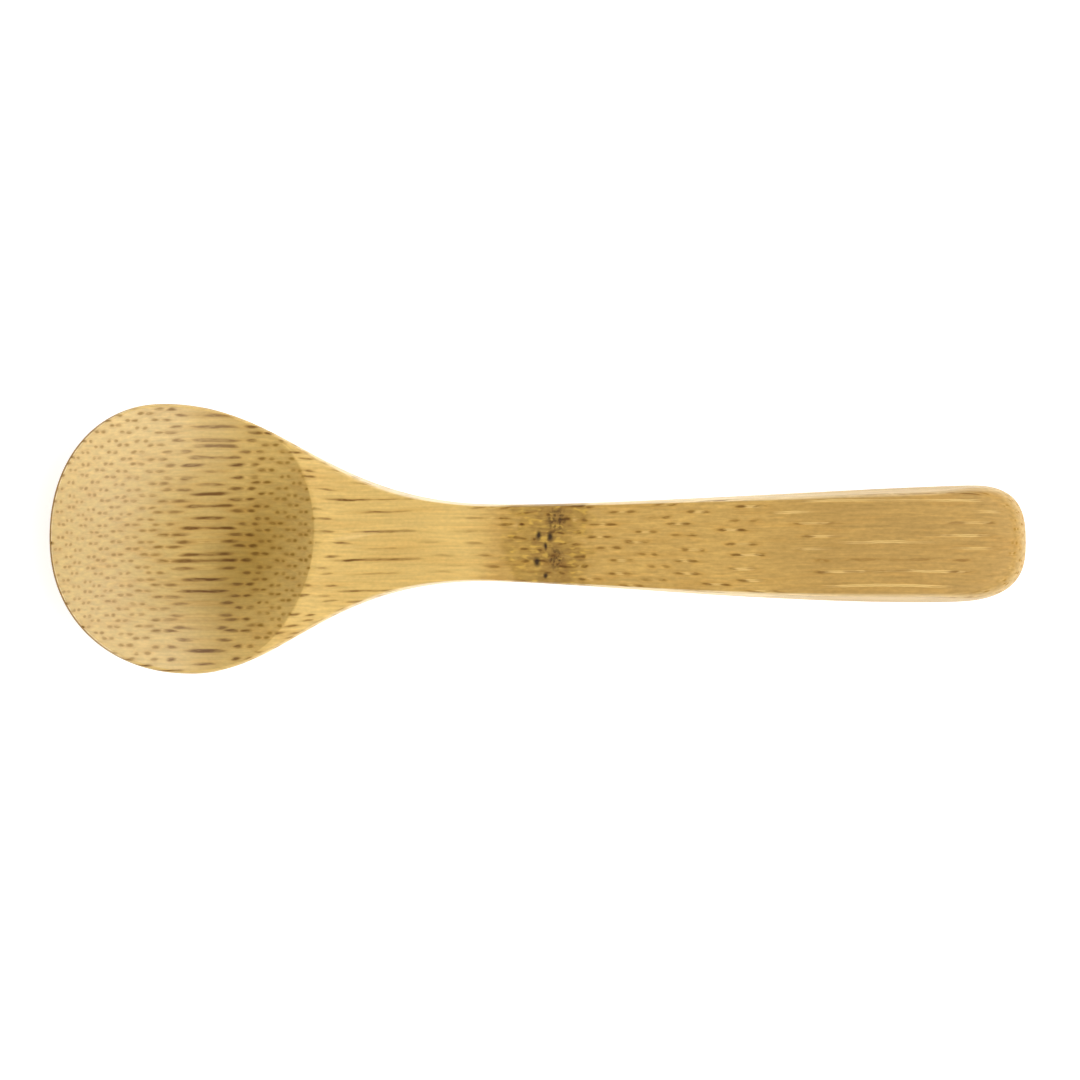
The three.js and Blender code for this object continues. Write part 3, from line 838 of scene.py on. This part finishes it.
class SPOON_OT_carve(bpy.types.Operator):
    """Refines the carved solid into a smooth spoon and gives it its bamboo"""

    bl_idname = "spoon.carve"
    bl_label = "Carve spoon"

    def execute(self, context):
        shape = context.scene.spoon_shape
        solid = frame["nodes"]["spoon"]
        bpy.ops.object.select_all(action="DESELECT")
        solid.select_set(True)
        context.view_layer.objects.active = solid
        bpy.ops.object.duplicate()
        spoon = context.active_object
        spoon.name = "carved_spoon"
        spoon.data.name = "carved_spoon"
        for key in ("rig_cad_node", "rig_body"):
            del spoon[key]
        bpy.ops.object.parent_clear(type="CLEAR_KEEP_TRANSFORM")
        bpy.ops.object.mode_set(mode="EDIT")
        bpy.ops.mesh.select_all(action="SELECT")
        bpy.ops.mesh.remove_doubles(threshold=WELD)
        bpy.ops.mesh.tris_convert_to_quads(face_threshold=QUAD_ANGLE, shape_threshold=QUAD_ANGLE)
        bpy.ops.mesh.customdata_custom_splitnormals_clear()

        # Only the hollow's back edge is selected, to be creased
        bpy.ops.mesh.select_mode(type="EDGE")
        bpy.ops.mesh.select_all(action="DESELECT")
        mesh = bmesh.from_edit_mesh(spoon.data)
        for edge in mesh.edges:
            if len(edge.link_faces) != 2:
                raise RuntimeError("the carved surface has an open edge")
            level = min(face.normal.z for face in edge.link_faces)
            if level > TOP_LEVEL and edge.calc_face_angle() > shape.crisp_angle:
                edge.select_set(True)
        bmesh.update_edit_mesh(spoon.data)
        bpy.ops.transform.edge_crease(value=shape.crisp_crease)
        bpy.ops.object.mode_set(mode="OBJECT")
        refine = spoon.modifiers.new("refine", "SUBSURF")
        refine.levels = shape.levels
        refine.render_levels = shape.levels
        bpy.ops.object.modifier_apply(modifier=refine.name)
        bpy.ops.object.shade_smooth()
        spoon.data.materials.clear()
        spoon.data.materials.append(bamboo_material(context.scene.bamboo_finish))
        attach(spoon, "root")
        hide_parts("spoon")
        return {"FINISHED"}


class SPOON_OT_lay_out(bpy.types.Operator):
    """Lays out the light table, its lights and the camera above the spoon"""

    bl_idname = "spoon.lay_out"
    bl_label = "Lay out light table"

    def execute(self, context):
        table = context.scene.light_table
        bpy.ops.object.select_all(action="DESELECT")
        bpy.ops.mesh.primitive_plane_add(size=table.table_size, location=(0, 0, -TABLE_DROP))
        floor = context.active_object
        floor.name = "light_table"
        acrylic = bpy.data.materials.new("white_acrylic")
        acrylic.use_nodes = True
        sheet = acrylic.node_tree.nodes["Principled BSDF"]
        sheet.inputs["Base Color"].default_value = ACRYLIC_COLOUR
        sheet.inputs["Roughness"].default_value = ACRYLIC_ROUGHNESS
        sheet.inputs["Emission Color"].default_value = WHITE
        sheet.inputs["Emission Strength"].default_value = table.glow
        floor.data.materials.append(acrylic)

        world = bpy.data.worlds.new("white_tent")
        context.scene.world = world
        world.use_nodes = True
        tent = world.node_tree
        direction = add(tent, "ShaderNodeTexCoord").outputs["Generated"]
        height = add(tent, SPLIT, {0: direction}).outputs["Z"]
        glow = add(tent, RANGE, {"Value": height, "To Min": table.tent_low, "To Max": table.tent_high})
        tent.nodes["Background"].inputs["Color"].default_value = WHITE
        tent.links.new(glow.outputs[0], tent.nodes["Background"].inputs["Strength"])

        for name, place, share in (("end", END_SOFTBOX, 1), ("left", LEFT_SOFTBOX, table.side_share),
                                   ("right", RIGHT_SOFTBOX, table.side_share)):
            bpy.ops.object.light_add(type="AREA", location=place)
            softbox = context.active_object
            softbox.name = f"softbox_{name}"
            softbox.rotation_euler = Vector(place).to_track_quat("Z", "Y").to_euler()
            softbox.data.shape = "RECTANGLE"
            softbox.data.size = SOFTBOX_WIDTH
            softbox.data.size_y = SOFTBOX_HEIGHT
            softbox.data.energy = table.softbox_glow * share * math.pi * SOFTBOX_WIDTH * SOFTBOX_HEIGHT

        frame_width = LENGTH * PHOTO_PIXELS / SPOON_PIXELS
        above = PHOTO_LEVEL + frame_width * table.lens / SENSOR
        bpy.ops.object.camera_add(location=(PHOTO_X, PHOTO_Y, above), rotation=(0, 0, 0))
        camera = context.active_object
        camera.name = "overhead_camera"
        camera.data.lens = table.lens
        camera.data.sensor_width = SENSOR
        context.scene.camera = camera
        context.scene.view_settings.view_transform = "Standard"
        return {"FINISHED"}


class SPOON_PT_bench(bpy.types.Panel):
    """The spoon's bench"""

    bl_label = "Bamboo salt spoon"
    bl_space_type = "VIEW_3D"
    bl_region_type = "UI"
    bl_category = "Spoon"

    def draw(self, context):
        scene = context.scene
        for group in (scene.spoon_shape, scene.bamboo_finish, scene.light_table):
            box = self.layout.box()
            for name in type(group).__annotations__:
                box.prop(group, name)
        for operator in (SPOON_OT_carve, SPOON_OT_lay_out):
            self.layout.operator(operator.bl_idname)


CLASSES = (SpoonShape, BambooFinish, LightTable, SPOON_OT_carve, SPOON_OT_lay_out, SPOON_PT_bench)


def register():
    for made in CLASSES:
        bpy.utils.register_class(made)
    bpy.types.Scene.spoon_shape = bpy.props.PointerProperty(type=SpoonShape)
    bpy.types.Scene.bamboo_finish = bpy.props.PointerProperty(type=BambooFinish)
    bpy.types.Scene.light_table = bpy.props.PointerProperty(type=LightTable)


def unregister():
    for name in ("light_table", "bamboo_finish", "spoon_shape"):
        delattr(bpy.types.Scene, name)
    for made in reversed(CLASSES):
        bpy.utils.unregister_class(made)


def main():
    register()
    bpy.ops.spoon.carve()
    bpy.ops.spoon.lay_out()


if __name__ == "__main__":
    main()
